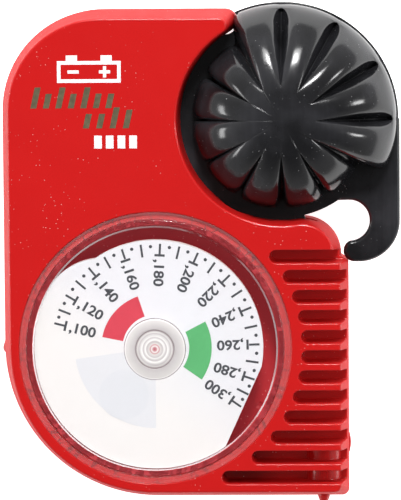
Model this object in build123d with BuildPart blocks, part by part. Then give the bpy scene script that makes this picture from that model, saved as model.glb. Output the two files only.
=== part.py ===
"""Rotary-float acid tester for lead batteries, lying on its back: a red two-part case, a clear dial window over a
weighted float, a black squeeze bulb with a hanging hook, and a suction pipe that folds across the back.

Units are millimetres. +Z points out of the front face, +Y towards the bulb end, and z = 0 is the back."""

from build123d import *
import os
from math import acos, atan2, cos, degrees, hypot, radians, sin, sqrt

os.makedirs("parts", exist_ok=True)

# ---- driving dimensions ----

# Heights above the back
PARTING_Z = 13.0
FRONT_Z = 26.0
RECESS_Z = 7.0
SLOT_FLOOR_Z = 16.0
WINDOW_TOP_Z = 28.5
WALL = 2.0
FRONT_EDGE_R = 0.6
BACK_EDGE_R = 1.0

# Case outline at the parting, seen from the front, and how far the front face is drawn in from it
DIAL_X, DIAL_Y = -11.4, -23.6
LOWER_R = 38.2
UPPER_X, UPPER_Y, UPPER_R = -24.7, 35.2, 25.1
SIDE_X = 36.7
BOTTOM_CORNER_R = 1.8
SHOULDER_X, SHOULDER_R = 25.2, 9.7
SHOULDER_STEP_Y = -2.8
BULB_X, BULB_Y = 20.2, 32.9
BULB_CUTOUT_R = 25.3
TOP_CORNER_R = 3.0
DRAFT = 2.0
CUTOUT_DRAFT = 0.8
CUTOUT_WALL = 4.3

# Grip slots
SLOTS = 12
SLOT_PITCH = 5.0
SLOT_WIDTH = 3.4
FIRST_SLOT_Y = -1.0
SLOT_END_R = 36.3
SLOT_TAPER = 2.3

# Dial window, chamber and float
WINDOW_FLANGE_R = 33.8
WINDOW_FLANGE_T = 1.4
WINDOW_DRUM_R = 32.0
CHAMBER_R = 32.0
CHAMBER_BORE_R = 30.6
CHAMBER_FLOOR_Z = 9.0
CHAMBER_RIM_Z = 24.2
SEAL_T = 0.6
WINDOW_T = 1.2
HUB_R = 7.7
HUB_H = 0.6
HUB_DISH_R = 4.9
HUB_DISH = 0.3
FLOAT_R = 30.2
FLOAT_LABEL_R = 26.8
FLOAT_CHORD = 26.0
FLOAT_CHORD_ANGLE = -24.4
FLOAT_RIM_END = 146.0
FLOAT_STEP = 2.4
FLOAT_Z = 20.6
FLOAT_T = 3.5
LABEL_T = 0.2
BALLAST_X, BALLAST_Y = -7.9, -11.7
BALLAST_R = 6.2
BALLAST_T = 2.2
PIN_R = 1.0
BEARING_R = 2.0
BEARING_T = 3.0
BEARING_POST_R = 3.6
REAR_BEARING_Z = 12.0
FRONT_BEARING_Z = 24.9
END_GAP = 0.4

# Gaps: a turning fit, and parts that only stand beside each other
RUNNING_GAP = 0.05
FIT_GAP = 0.1

# Bulb, its flange and its hook
FLANGE_T = 3.0
FLANGE_R = 29.1
FLANGE_CASE_R = 27.2
FLANGE_NARROW_R = 24.8
FLANGE_WIDE_FROM, FLANGE_NARROW_FROM = -45, -77
TOP_CORNER_ANGLE = 124
HOOK_EDGE_R = 1.0
LOBE_R = 28.7
LOBE_CASE_R = 22.5
CROWN_Z = 33.5
DOME_FLAT_R = 10.0
DOME_SIDE_Z = 21.5
LOBES_FROM, LOBES_TO = -30, 115
CUP_Z = 0.8
CUP_R = 21.5
CUP_FLAT_R = 12.0
HOOK_X, HOOK_Y, HOOK_R = 39.2, 7.3, 10.4
HOLE_X, HOLE_R = 36.9, 5.1
HOOK_TIP_X, HOOK_TIP_R = 38.2, 2.75
BULB_WALL = 2.2
FLANGE_HOLE_R = 17.5
CORNER_GAP = 0.4
NECK_R = 4.2
NECK_START, NECK_END = 25.5, 32.6
CLIP_START, CLIP_WIDTH, CLIP_T = 29.9, 2.4, 0.9
AIR_TUBE_R = 2.4
AIR_TUBE_START = 26.5
AIR_BORE_R = 1.1

# Inlet and folding pipe
PIVOT_X, PIVOT_Y = 30.3, -49.3
PIPE_ANGLE = 162.1
PIPE_LENGTH = 84.6
PIPE_R = 3.0
PIPE_BORE_R = 1.5
PIPE_TIP_R = 1.4
PIPE_Z = 3.5
PIPE_HUB_R = 6.85
PIPE_HUB_T = 6.2
HUB_BEVEL = 0.5
PIPE_CLEARANCE = 0.6
BOLT_R = 2.0
BOLT_HEAD_R = 3.6
BOLT_HEAD_Z, BOLT_HEAD_T = 0.4, 1.4
BOLT_END_Z = 10.6
BOLT_BORE_R = 0.9
SEAL_GROOVE_R = 2.75
SEAL_GROOVES_Z = (2.0, 4.7)
SEAL_GROOVE_T = 0.8
FEED_GROOVE_R = 3.0
FEED_GROOVE_T = 1.2
WASHER_R = 6.0
COLUMN_R = 4.0
COLUMN_TOP_Z = 13.9
INLET_Z = 12.2
INLET_R = 1.6
INLET_BORE_R = 0.8
INLET_SOCKET = 2.6
CHANNEL_Z = 15.0
CHANNEL_R = 3.0
CHANNEL_COVER_R = 4.35
CHANNEL_COVER_INSET = 1.2
CHANNEL_BORE_R = 1.2
PLUG_R = 1.5
PLUG_TIP_R = 1.0
PLUG_DEPTH = 3.0
PLUG_OUT = 1.3

# Case screws: where each one stands
SCREWS = [(-40.0, 22.5), (-31.0, 48.5), (-3.0, 52.5), (25.4, 3.9)]
SCREW_R = 1.25
SCREW_HEAD_R = 2.6
SCREW_HEAD_T = 2.0
SCREW_POST_R = 3.4
SCREW_SUNK_Z = 2.6
SCREW_END_Z = 21.0

# ---- values that follow from them ----

FLANGE_Z = PARTING_Z - FLANGE_T / 2
FLANGE_TOP_Z = PARTING_Z + FLANGE_T / 2
BOTTOM_Y = DIAL_Y - LOWER_R
TOP_Y = UPPER_Y + UPPER_R
RIM_Z = CHAMBER_RIM_Z + SEAL_T
FLOAT_TOP_Z = FLOAT_Z + FLOAT_T
BULB_TO_DIAL = hypot(BULB_X - DIAL_X, BULB_Y - DIAL_Y)
NECK_ANGLE = degrees(atan2(DIAL_Y - BULB_Y, DIAL_X - BULB_X))
PIVOT_TO_DIAL = hypot(PIVOT_X - DIAL_X, PIVOT_Y - DIAL_Y)
HOOK_TIP_Y = HOOK_Y + HOOK_TIP_R - sqrt(HOOK_R**2 - (HOOK_TIP_X - HOOK_X) ** 2)
INLET_ANGLE = degrees(atan2(DIAL_Y - PIVOT_Y, DIAL_X - PIVOT_X))


def on_circle(x, y, radius, angle):
    """The point of a circle at an angle in degrees."""
    return (x + radius * cos(radians(angle)), y + radius * sin(radians(angle)))


def along(x, y, z, angle):
    """A plane at a point whose normal lies flat and points at an angle in degrees."""
    direction = (cos(radians(angle)), sin(radians(angle)), 0)
    return Plane(origin=(x, y, z), x_dir=(0, 0, 1), z_dir=direction)


def case_outline(inset, cutout_inset):
    """The closed outline of the case, anticlockwise from the lower right corner, drawn in by inset, and by
    cutout_inset along the arc beside the bulb."""
    lower_r, upper_r, shoulder_r = LOWER_R - inset, UPPER_R - inset, SHOULDER_R - inset
    cutout_r, corner_r = BULB_CUTOUT_R + cutout_inset, TOP_CORNER_R - inset / 2
    side_x, bottom_y, top_y = SIDE_X - inset, BOTTOM_Y + inset, TOP_Y - inset
    # The left side is the line that touches both big arcs.
    span = hypot(UPPER_X - DIAL_X, UPPER_Y - DIAL_Y)
    lean = degrees(atan2(UPPER_Y - DIAL_Y, UPPER_X - DIAL_X))
    side_angle = lean + degrees(atan2(sqrt(span**2 - (LOWER_R - UPPER_R) ** 2), LOWER_R - UPPER_R))
    # The top corner touches the top edge and the arc beside the bulb.
    corner_y = top_y - corner_r
    corner_x = BULB_X - sqrt((cutout_r + corner_r) ** 2 - (corner_y - BULB_Y) ** 2)
    corner_end = degrees(atan2(BULB_Y - corner_y, BULB_X - corner_x))
    # The shoulder touches the arc beside the bulb.
    shoulder_y = BULB_Y - sqrt((cutout_r + shoulder_r) ** 2 - (SHOULDER_X - BULB_X) ** 2)
    shoulder_end = degrees(atan2(BULB_Y - shoulder_y, BULB_X - SHOULDER_X))
    meet_angle = shoulder_end - 180
    Line((DIAL_X, bottom_y), (side_x, bottom_y))
    Line((side_x, bottom_y), (side_x, SHOULDER_STEP_Y))
    Line((side_x, SHOULDER_STEP_Y), (SHOULDER_X + shoulder_r, shoulder_y))
    CenterArc((SHOULDER_X, shoulder_y), shoulder_r, 0, shoulder_end)
    CenterArc((BULB_X, BULB_Y), cutout_r, meet_angle, corner_end - 180 - meet_angle)
    CenterArc((corner_x, corner_y), corner_r, corner_end, 90 - corner_end)
    Line((corner_x, top_y), (UPPER_X, top_y))
    CenterArc((UPPER_X, UPPER_Y), upper_r, 90, side_angle - 90)
    left_top = on_circle(UPPER_X, UPPER_Y, upper_r, side_angle)
    left_bottom = on_circle(DIAL_X, DIAL_Y, lower_r, side_angle)
    Line(left_top, left_bottom)
    CenterArc((DIAL_X, DIAL_Y), lower_r, side_angle, 270 - side_angle)


def case_face(inset=0.0, cutout_inset=0.0):
    """The case outline as a face."""
    with BuildSketch() as face:
        with BuildLine():
            case_outline(inset, cutout_inset)
        make_face()
        corner = face.vertices().sort_by_distance((SIDE_X - inset, BOTTOM_Y + inset))[0]
        fillet(corner, BOTTOM_CORNER_R)
    return face.sketch


def below_pipe(gap):
    """The region that the pipe swings over, widened by gap on the far side of the folded pipe."""
    reach = 140
    middle = on_circle(PIVOT_X, PIVOT_Y, reach / 2 - PIPE_R - gap, PIPE_ANGLE + 90)
    with BuildSketch() as region:
        with Locations(middle):
            Rectangle(2 * reach, reach, rotation=PIPE_ANGLE)
        with Locations((PIVOT_X, PIVOT_Y)):
            Circle(PIPE_HUB_R + gap)
    return region.sketch


def float_face():
    """The float's outline: a wide rim round the lower side, the label's radius round the upper, one chord edge."""
    with BuildSketch() as face:
        with BuildLine():
            upper_start = FLOAT_RIM_END - 22
            lower_end = on_circle(DIAL_X, DIAL_Y, FLOAT_R, FLOAT_RIM_END)
            shoulder = on_circle(DIAL_X, DIAL_Y, FLOAT_LABEL_R + FLOAT_STEP, upper_start + 12)
            upper_end = on_circle(DIAL_X, DIAL_Y, FLOAT_LABEL_R, upper_start)
            chord_start = FLOAT_CHORD_ANGLE + degrees(acos(FLOAT_CHORD / FLOAT_LABEL_R))
            chord_end = FLOAT_CHORD_ANGLE - degrees(acos(FLOAT_CHORD / FLOAT_R))
            CenterArc((DIAL_X, DIAL_Y), FLOAT_LABEL_R, upper_start, chord_start - upper_start)
            Line(
                on_circle(DIAL_X, DIAL_Y, FLOAT_LABEL_R, chord_start),
                on_circle(DIAL_X, DIAL_Y, FLOAT_R, chord_end),
            )
            lower_sweep = FLOAT_RIM_END - 360 - chord_end
            CenterArc((DIAL_X, DIAL_Y), FLOAT_R, chord_end, lower_sweep)
            ThreePointArc(lower_end, shoulder, upper_end)
        make_face()
    return face.sketch


def hook_face():
    """The flange round the bulb, with the hook that hangs from its right side. The flange is wide on the free side,
    narrow above the case's shoulder, and runs into the case's groove on the rest of its way."""
    around = (
        (FLANGE_R, FLANGE_WIDE_FROM, TOP_CORNER_ANGLE),
        (FLANGE_CASE_R, TOP_CORNER_ANGLE, 360 + FLANGE_NARROW_FROM),
        (FLANGE_NARROW_R, FLANGE_NARROW_FROM, FLANGE_WIDE_FROM),
    )
    with BuildSketch() as face:
        for flange_r, first, last in around:
            with BuildLine():
                Line((BULB_X, BULB_Y), on_circle(BULB_X, BULB_Y, flange_r, first))
                CenterArc((BULB_X, BULB_Y), flange_r, first, last - first)
                Line(on_circle(BULB_X, BULB_Y, flange_r, last), (BULB_X, BULB_Y))
            make_face()
        # The hook's arm and bend.
        arm_root = on_circle(BULB_X, BULB_Y, FLANGE_NARROW_R, FLANGE_WIDE_FROM - 11)
        low = degrees(atan2(-sqrt(HOOK_R**2 - (HOOK_TIP_X - HOOK_X) ** 2), HOOK_TIP_X - HOOK_X))
        with BuildLine():
            Polyline(
                on_circle(HOOK_X, HOOK_Y, HOOK_R, low),
                (HOOK_TIP_X, HOOK_Y),
                (HOLE_X, HOOK_Y + HOLE_R),
                arm_root,
                on_circle(BULB_X, BULB_Y, FLANGE_HOLE_R, FLANGE_WIDE_FROM),
                (HOOK_X + HOOK_R, BULB_Y),
                (HOOK_X + HOOK_R, HOOK_Y),
            )
            CenterArc((HOOK_X, HOOK_Y), HOOK_R, 0, low)
        make_face()
        with Locations((HOOK_TIP_X, HOOK_TIP_Y)):
            Circle(HOOK_TIP_R)
        with Locations((HOLE_X, HOOK_Y)):
            Circle(HOLE_R, mode=Mode.SUBTRACT)
        # Room for the top corner of the case.
        corner_y = TOP_Y - TOP_CORNER_R
        corner_x = BULB_X - sqrt((BULB_CUTOUT_R + TOP_CORNER_R) ** 2 - (corner_y - BULB_Y) ** 2)
        with Locations((corner_x, corner_y)):
            Circle(TOP_CORNER_R + CORNER_GAP, mode=Mode.SUBTRACT)
    return face.sketch


# ---- case ----

with BuildPart() as front_shell:
    # The walls lean in towards the front face.
    with BuildSketch(Plane.XY.offset(PARTING_Z)):
        add(case_face())
    with BuildSketch(Plane.XY.offset(FRONT_Z)):
        add(case_face(DRAFT, CUTOUT_DRAFT))
    loft(ruled=True)
    fillet(front_shell.faces().sort_by(Axis.Z)[-1].outer_wire().edges(), FRONT_EDGE_R)
    # Grip slots, round at the dial end, open at the side and narrower towards their floors.
    with BuildSketch(Plane.XY.offset(FRONT_Z)):
        for slot in range(SLOTS):
            slot_y = FIRST_SLOT_Y - slot * SLOT_PITCH
            slot_x = DIAL_X + sqrt(SLOT_END_R**2 - (slot_y - DIAL_Y) ** 2) + SLOT_WIDTH / 2
            with Locations((slot_x, slot_y)):
                Circle(SLOT_WIDTH / 2)
                Rectangle(SIDE_X + WALL - slot_x, SLOT_WIDTH, align=(Align.MIN, Align.CENTER))
    extrude(amount=SLOT_FLOOR_Z - FRONT_Z, taper=SLOT_TAPER, mode=Mode.SUBTRACT)
    # The cover over the inlet channel rises through the last slots.
    with BuildSketch(Plane.XZ.offset(-PIVOT_Y)):
        with Locations((PIVOT_X, CHANNEL_Z)):
            Circle(CHANNEL_COVER_R)
        with Locations((PIVOT_X, PARTING_Z)):
            Rectangle(
                4 * CHANNEL_COVER_R,
                4 * CHANNEL_COVER_R,
                align=(Align.CENTER, Align.MAX),
                mode=Mode.SUBTRACT,
            )
    extrude(amount=PIVOT_Y - BOTTOM_Y - CHANNEL_COVER_INSET)
    # Hollow under the plain front, and a shallow one under the slots.
    with BuildSketch(Plane.XY.offset(PARTING_Z)):
        with Locations((DIAL_X, DIAL_Y)):
            Circle(SLOT_END_R - WALL)
        with Locations((0, FIRST_SLOT_Y + SLOT_WIDTH / 2 + WALL)):
            Rectangle(150, 150, align=(Align.CENTER, Align.MIN))
        add(case_face(WALL + DRAFT, CUTOUT_WALL), mode=Mode.INTERSECT)
    extrude(amount=FRONT_Z - WALL - PARTING_Z, mode=Mode.SUBTRACT)
    with BuildSketch(Plane.XY.offset(PARTING_Z)):
        add(case_face(WALL, CUTOUT_WALL))
    extrude(amount=SLOT_FLOOR_Z - WALL - PARTING_Z, mode=Mode.SUBTRACT)
    # Screw posts.
    with BuildSketch(Plane.XY.offset(PARTING_Z)):
        with Locations(*SCREWS):
            Circle(SCREW_POST_R)
    extrude(amount=FRONT_Z - WALL - PARTING_Z)
    with BuildSketch(Plane.XY.offset(PARTING_Z)):
        with Locations(*SCREWS):
            Circle(SCREW_R)
    extrude(amount=SCREW_END_Z - PARTING_Z, mode=Mode.SUBTRACT)
    # The dial opening, with a ledge for the window's flange.
    with BuildSketch(Plane.XY.offset(PARTING_Z)):
        with Locations((DIAL_X, DIAL_Y)):
            Circle(CHAMBER_R + FIT_GAP)
    extrude(amount=FRONT_Z - PARTING_Z, mode=Mode.SUBTRACT)
    with BuildSketch(Plane.XY.offset(RIM_Z)):
        with Locations((DIAL_X, DIAL_Y)):
            Circle(WINDOW_FLANGE_R + FIT_GAP)
    extrude(amount=FRONT_Z - RIM_Z, mode=Mode.SUBTRACT)
    # The open trough that the inlet channel drops into, and the hole for its plug.
    trough_r = CHANNEL_R + FIT_GAP
    with BuildSketch(Plane.XZ.offset(-PIVOT_Y - 1)):
        with Locations((PIVOT_X, CHANNEL_Z)):
            Circle(trough_r)
            Rectangle(2 * trough_r, CHANNEL_Z - PARTING_Z + 1, align=(Align.CENTER, Align.MAX))
    extrude(amount=PIVOT_Y - BOTTOM_Y - WALL + 1, mode=Mode.SUBTRACT)
    with BuildSketch(Plane.XZ.offset(-PIVOT_Y)):
        with Locations((PIVOT_X, CHANNEL_Z)):
            Circle(PLUG_R + FIT_GAP)
    extrude(amount=PIVOT_Y - BOTTOM_Y + 1, mode=Mode.SUBTRACT)
    # Half of the hole that the bulb's neck enters by.
    with BuildSketch(along(BULB_X, BULB_Y, PARTING_Z, NECK_ANGLE)):
        Circle(NECK_R + FIT_GAP)
    extrude(amount=NECK_END, mode=Mode.SUBTRACT)
    # Half of the groove that holds the bulb's flange.
    with BuildSketch(Plane.XY.offset(PARTING_Z)):
        with Locations((BULB_X, BULB_Y)):
            Circle(FLANGE_CASE_R + FIT_GAP)
    extrude(amount=FLANGE_T / 2 + FIT_GAP, mode=Mode.SUBTRACT)
front_shell.part.label = "front_shell"

with BuildPart() as rear_shell:
    with BuildSketch():
        add(case_face())
    extrude(amount=PARTING_Z)
    fillet(rear_shell.faces().sort_by(Axis.Z)[0].outer_wire().edges(), BACK_EDGE_R)
    # The back steps in where the pipe swings.
    with BuildSketch():
        add(below_pipe(PIPE_CLEARANCE))
    extrude(amount=RECESS_Z, mode=Mode.SUBTRACT)
    # Hollow, deep behind the thick part and shallow behind the recess.
    with BuildSketch(Plane.XY.offset(WALL)):
        add(case_face(WALL, CUTOUT_WALL))
        add(below_pipe(PIPE_CLEARANCE + WALL), mode=Mode.SUBTRACT)
    extrude(amount=PARTING_Z - WALL, mode=Mode.SUBTRACT)
    with BuildSketch(Plane.XY.offset(CHAMBER_FLOOR_Z)):
        add(case_face(WALL, CUTOUT_WALL))
    extrude(amount=PARTING_Z - CHAMBER_FLOOR_Z, mode=Mode.SUBTRACT)
    # Screw posts with sunk heads.
    with BuildSketch(Plane.XY.offset(WALL)):
        with Locations(*SCREWS):
            Circle(SCREW_POST_R)
    extrude(amount=PARTING_Z - WALL)
    with Locations(*[Location((x, y, 0), (180, 0, 0)) for x, y in SCREWS]):
        CounterBoreHole(SCREW_R + FIT_GAP, SCREW_HEAD_R + FIT_GAP, SCREW_SUNK_Z, PARTING_Z)
    # The hole for the pipe's hollow bolt.
    with BuildSketch(Plane.XY.offset(RECESS_Z)):
        with Locations((PIVOT_X, PIVOT_Y)):
            Circle(BOLT_R + FIT_GAP)
    extrude(amount=WALL, mode=Mode.SUBTRACT)
    with BuildSketch(along(BULB_X, BULB_Y, PARTING_Z, NECK_ANGLE)):
        Circle(NECK_R + FIT_GAP)
    extrude(amount=NECK_END, mode=Mode.SUBTRACT)
    with BuildSketch(Plane.XY.offset(FLANGE_Z - FIT_GAP)):
        with Locations((BULB_X, BULB_Y)):
            Circle(FLANGE_CASE_R + FIT_GAP)
    extrude(amount=FLANGE_T / 2 + FIT_GAP, mode=Mode.SUBTRACT)
rear_shell.part.label = "rear_shell"

with BuildPart() as case_screws:
    with BuildSketch(Plane.XY.offset(SCREW_SUNK_Z - SCREW_HEAD_T)):
        with Locations(*SCREWS):
            Circle(SCREW_HEAD_R)
    extrude(amount=SCREW_HEAD_T)
    with BuildSketch(Plane.XY.offset(SCREW_SUNK_Z)):
        with Locations(*SCREWS):
            Circle(SCREW_R)
    extrude(amount=SCREW_END_Z - SCREW_SUNK_Z)
    # Cross recesses in the heads.
    with BuildSketch(Plane.XY.offset(SCREW_SUNK_Z - SCREW_HEAD_T)):
        with Locations(*SCREWS):
            Rectangle(SCREW_HEAD_R * 1.2, 0.6)
            Rectangle(0.6, SCREW_HEAD_R * 1.2)
    extrude(amount=SCREW_HEAD_T / 2, mode=Mode.SUBTRACT)
case_screws.part.label = "case_screws"

# ---- chamber, window and float ----

with BuildPart() as measuring_chamber:
    with BuildSketch(Plane.XY.offset(CHAMBER_FLOOR_Z)):
        with Locations((DIAL_X, DIAL_Y)):
            Circle(CHAMBER_R)
    extrude(amount=CHAMBER_RIM_Z - CHAMBER_FLOOR_Z)
    with BuildSketch(Plane.XY.offset(CHAMBER_FLOOR_Z + WALL)):
        with Locations((DIAL_X, DIAL_Y)):
            Circle(CHAMBER_BORE_R)
    extrude(amount=CHAMBER_RIM_Z - CHAMBER_FLOOR_Z - WALL, mode=Mode.SUBTRACT)
    # The post that holds the rear bearing.
    with BuildSketch(Plane.XY.offset(CHAMBER_FLOOR_Z + WALL)):
        with Locations((DIAL_X, DIAL_Y)):
            Circle(BEARING_POST_R)
    extrude(amount=REAR_BEARING_Z + BEARING_T - CHAMBER_FLOOR_Z - WALL)
    with BuildSketch(Plane.XY.offset(REAR_BEARING_Z - END_GAP)):
        with Locations((DIAL_X, DIAL_Y)):
            Circle(BEARING_R)
    extrude(amount=BEARING_T + END_GAP, mode=Mode.SUBTRACT)
    # Ports for the air tube and the inlet tube.
    air_port = on_circle(DIAL_X, DIAL_Y, CHAMBER_BORE_R - 1, NECK_ANGLE + 180)
    with BuildSketch(along(*air_port, PARTING_Z, NECK_ANGLE + 180)):
        Circle(AIR_TUBE_R)
    extrude(amount=CHAMBER_R - CHAMBER_BORE_R + 2, mode=Mode.SUBTRACT)
    inlet_port = on_circle(DIAL_X, DIAL_Y, CHAMBER_BORE_R - 1, INLET_ANGLE + 180)
    with BuildSketch(along(*inlet_port, INLET_Z, INLET_ANGLE + 180)):
        Circle(INLET_R)
    extrude(amount=CHAMBER_R - CHAMBER_BORE_R + 2, mode=Mode.SUBTRACT)
measuring_chamber.part.label = "measuring_chamber"

with BuildPart() as window_seal:
    with BuildSketch(Plane.XY.offset(CHAMBER_RIM_Z)):
        with Locations((DIAL_X, DIAL_Y)):
            Circle(WINDOW_DRUM_R)
            Circle(CHAMBER_BORE_R + 0.2, mode=Mode.SUBTRACT)
    extrude(amount=SEAL_T)
window_seal.part.label = "window_seal"

with BuildPart() as dial_window:
    # One turned profile: flange, drum, flat top and hub, hollow beneath.
    with BuildSketch(Plane(origin=(DIAL_X, DIAL_Y, 0), x_dir=(1, 0, 0), z_dir=(0, -1, 0))):
        with BuildLine():
            Polyline(
                (0, WINDOW_TOP_Z + HUB_H - HUB_DISH),
                (HUB_DISH_R, WINDOW_TOP_Z + HUB_H - HUB_DISH),
                (HUB_DISH_R + 0.3, WINDOW_TOP_Z + HUB_H),
                (HUB_R - 0.3, WINDOW_TOP_Z + HUB_H),
                (HUB_R, WINDOW_TOP_Z),
                (WINDOW_DRUM_R - 0.6, WINDOW_TOP_Z),
                (WINDOW_DRUM_R, WINDOW_TOP_Z - 0.6),
                (WINDOW_DRUM_R, RIM_Z + WINDOW_FLANGE_T),
                (WINDOW_FLANGE_R - 0.3, RIM_Z + WINDOW_FLANGE_T),
                (WINDOW_FLANGE_R, RIM_Z + WINDOW_FLANGE_T - 0.3),
                (WINDOW_FLANGE_R, RIM_Z),
                (CHAMBER_BORE_R, RIM_Z),
                (CHAMBER_BORE_R, WINDOW_TOP_Z - WINDOW_T),
                (BEARING_POST_R, WINDOW_TOP_Z - WINDOW_T),
                (BEARING_POST_R, FRONT_BEARING_Z),
                (BEARING_R, FRONT_BEARING_Z),
                (BEARING_R, FRONT_BEARING_Z + BEARING_T + END_GAP),
                (0, FRONT_BEARING_Z + BEARING_T + END_GAP),
                close=True,
            )
        make_face()
    revolve(axis=Axis((DIAL_X, DIAL_Y, 0), (0, 0, 1)))
dial_window.part.label = "dial_window"

BEARINGS = {"rear_bearing": REAR_BEARING_Z, "front_bearing": FRONT_BEARING_Z}
for bearing_name, bearing_z in BEARINGS.items():
    with BuildPart() as bearing:
        with BuildSketch(Plane.XY.offset(bearing_z)):
            with Locations((DIAL_X, DIAL_Y)):
                Circle(BEARING_R)
                Circle(PIN_R + RUNNING_GAP, mode=Mode.SUBTRACT)
        extrude(amount=BEARING_T)
    bearing.part.label = bearing_name
    export_step(bearing.part, f"parts/{bearing_name}.step")

with BuildPart() as float_dial:
    with BuildSketch(Plane.XY.offset(FLOAT_Z)):
        add(float_face())
    extrude(amount=FLOAT_T)
    # A short hub keeps the float off the rear bearing.
    with BuildSketch(Plane.XY.offset(REAR_BEARING_Z + BEARING_T + END_GAP)):
        with Locations((DIAL_X, DIAL_Y)):
            Circle(BEARING_POST_R)
    extrude(until=Until.NEXT)
    # The pocket for the weight, open at the back.
    with BuildSketch(Plane.XY.offset(FLOAT_Z)):
        with Locations((DIAL_X + BALLAST_X, DIAL_Y + BALLAST_Y)):
            Circle(BALLAST_R)
    extrude(amount=BALLAST_T, mode=Mode.SUBTRACT)
    with BuildSketch(Plane.XY.offset(REAR_BEARING_Z)):
        with Locations((DIAL_X, DIAL_Y)):
            Circle(PIN_R)
    extrude(amount=FLOAT_TOP_Z, mode=Mode.SUBTRACT)
float_dial.part.label = "float_dial"

with BuildPart() as scale_label:
    with BuildSketch(Plane.XY.offset(FLOAT_TOP_Z)):
        add(float_face())
        with Locations((DIAL_X, DIAL_Y)):
            Circle(PIN_R, mode=Mode.SUBTRACT)
    extrude(amount=LABEL_T)
scale_label.part.label = "scale_label"

with BuildPart() as ballast_weight:
    with BuildSketch(Plane.XY.offset(FLOAT_Z)):
        with Locations((DIAL_X + BALLAST_X, DIAL_Y + BALLAST_Y)):
            Circle(BALLAST_R)
    extrude(amount=BALLAST_T)
ballast_weight.part.label = "ballast_weight"

with BuildPart() as pivot_pin:
    with BuildSketch(Plane.XY.offset(REAR_BEARING_Z)):
        with Locations((DIAL_X, DIAL_Y)):
            Circle(PIN_R)
    extrude(amount=FRONT_BEARING_Z + BEARING_T - REAR_BEARING_Z)
    chamfer(pivot_pin.edges().filter_by(GeomType.CIRCLE), 0.2)
pivot_pin.part.label = "pivot_pin"

# ---- bulb ----

with BuildPart() as suction_bulb:
    # Two domes about one centre, a wide one on the free side and a narrow one beside the case, hollow inside.
    for inset, margin, how in ((0, 0, Mode.ADD), (BULB_WALL, 5, Mode.SUBTRACT)):
        for dome_r, first, last in ((LOBE_CASE_R, 0, 360), (LOBE_R, LOBES_FROM + margin, LOBES_TO - margin)):
            facing = (cos(radians(first)), sin(radians(first)), 0)
            normal = (sin(radians(first)), -cos(radians(first)), 0)
            with BuildSketch(Plane(origin=(BULB_X, BULB_Y, 0), x_dir=facing, z_dir=normal)):
                with BuildLine():
                    wall_r, top_z = dome_r - inset, CROWN_Z - inset
                    Line((0, FLANGE_TOP_Z), (0, top_z))
                    crown = Line((0, top_z), (DOME_FLAT_R, top_z))
                    side = TangentArc(crown @ 1, (wall_r, DOME_SIDE_Z), tangent=crown % 1)
                    Line(side @ 1, (wall_r, FLANGE_TOP_Z))
                    Line((wall_r, FLANGE_TOP_Z), (0, FLANGE_TOP_Z))
                make_face()
            revolve(axis=Axis((BULB_X, BULB_Y, 0), (0, 0, 1)), revolution_arc=last - first, mode=how)
suction_bulb.part.label = "suction_bulb"

with BuildPart() as bulb_base:
    with BuildSketch(Plane.XY.offset(FLANGE_Z)):
        add(hook_face())
    extrude(amount=FLANGE_T)
    # The hook's edges are round.
    outlines = bulb_base.faces().sort_by(Axis.Z)[-1].edges() + bulb_base.faces().sort_by(Axis.Z)[0].edges()
    beside_bulb = outlines.filter_by(lambda edge: edge.center().X > HOLE_X - HOLE_R)
    fillet(beside_bulb.filter_by(lambda edge: edge.center().Y < BULB_Y - HOOK_EDGE_R), HOOK_EDGE_R)
    # The rear cup.
    with BuildSketch(Plane(origin=(BULB_X, BULB_Y, 0), x_dir=(1, 0, 0), z_dir=(0, -1, 0))):
        with BuildLine():
            inner_r = CUP_R - BULB_WALL
            Line((0, CUP_Z), (CUP_FLAT_R, CUP_Z))
            ThreePointArc((CUP_FLAT_R, CUP_Z), (CUP_R - 2.4, CUP_Z + 4.2), (CUP_R, FLANGE_Z))
            Line((CUP_R, FLANGE_Z), (inner_r, FLANGE_Z))
            ThreePointArc(
                (inner_r, FLANGE_Z), (inner_r - 2.2, CUP_Z + 6), (CUP_FLAT_R - 1, CUP_Z + BULB_WALL)
            )
            Line((CUP_FLAT_R - 1, CUP_Z + BULB_WALL), (0, CUP_Z + BULB_WALL))
            Line((0, CUP_Z + BULB_WALL), (0, CUP_Z))
        make_face()
    revolve(axis=Axis((BULB_X, BULB_Y, 0), (0, 0, 1)))
    with BuildSketch(Plane.XY.offset(FLANGE_Z)):
        with Locations((BULB_X, BULB_Y)):
            Circle(FLANGE_HOLE_R)
    extrude(amount=FLANGE_T, mode=Mode.SUBTRACT)
    # The neck that the air passes through.
    neck_root = on_circle(BULB_X, BULB_Y, NECK_START, NECK_ANGLE)
    with BuildSketch(along(*neck_root, PARTING_Z, NECK_ANGLE)):
        Circle(NECK_R)
    extrude(amount=NECK_END - NECK_START)
    with BuildSketch(along(BULB_X, BULB_Y, PARTING_Z, NECK_ANGLE)):
        Circle(AIR_BORE_R)
    extrude(amount=NECK_END, mode=Mode.SUBTRACT)
    with BuildSketch(along(*on_circle(BULB_X, BULB_Y, AIR_TUBE_START, NECK_ANGLE), PARTING_Z, NECK_ANGLE)):
        Circle(AIR_TUBE_R)
    extrude(amount=NECK_END, mode=Mode.SUBTRACT)
bulb_base.part.label = "bulb_base"

with BuildPart() as bulb_clip:
    clip_start = on_circle(BULB_X, BULB_Y, CLIP_START, NECK_ANGLE)
    with BuildSketch(along(*clip_start, PARTING_Z, NECK_ANGLE)):
        Circle(NECK_R + CLIP_T)
        Circle(NECK_R, mode=Mode.SUBTRACT)
    extrude(amount=CLIP_WIDTH)
bulb_clip.part.label = "bulb_clip"

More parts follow.
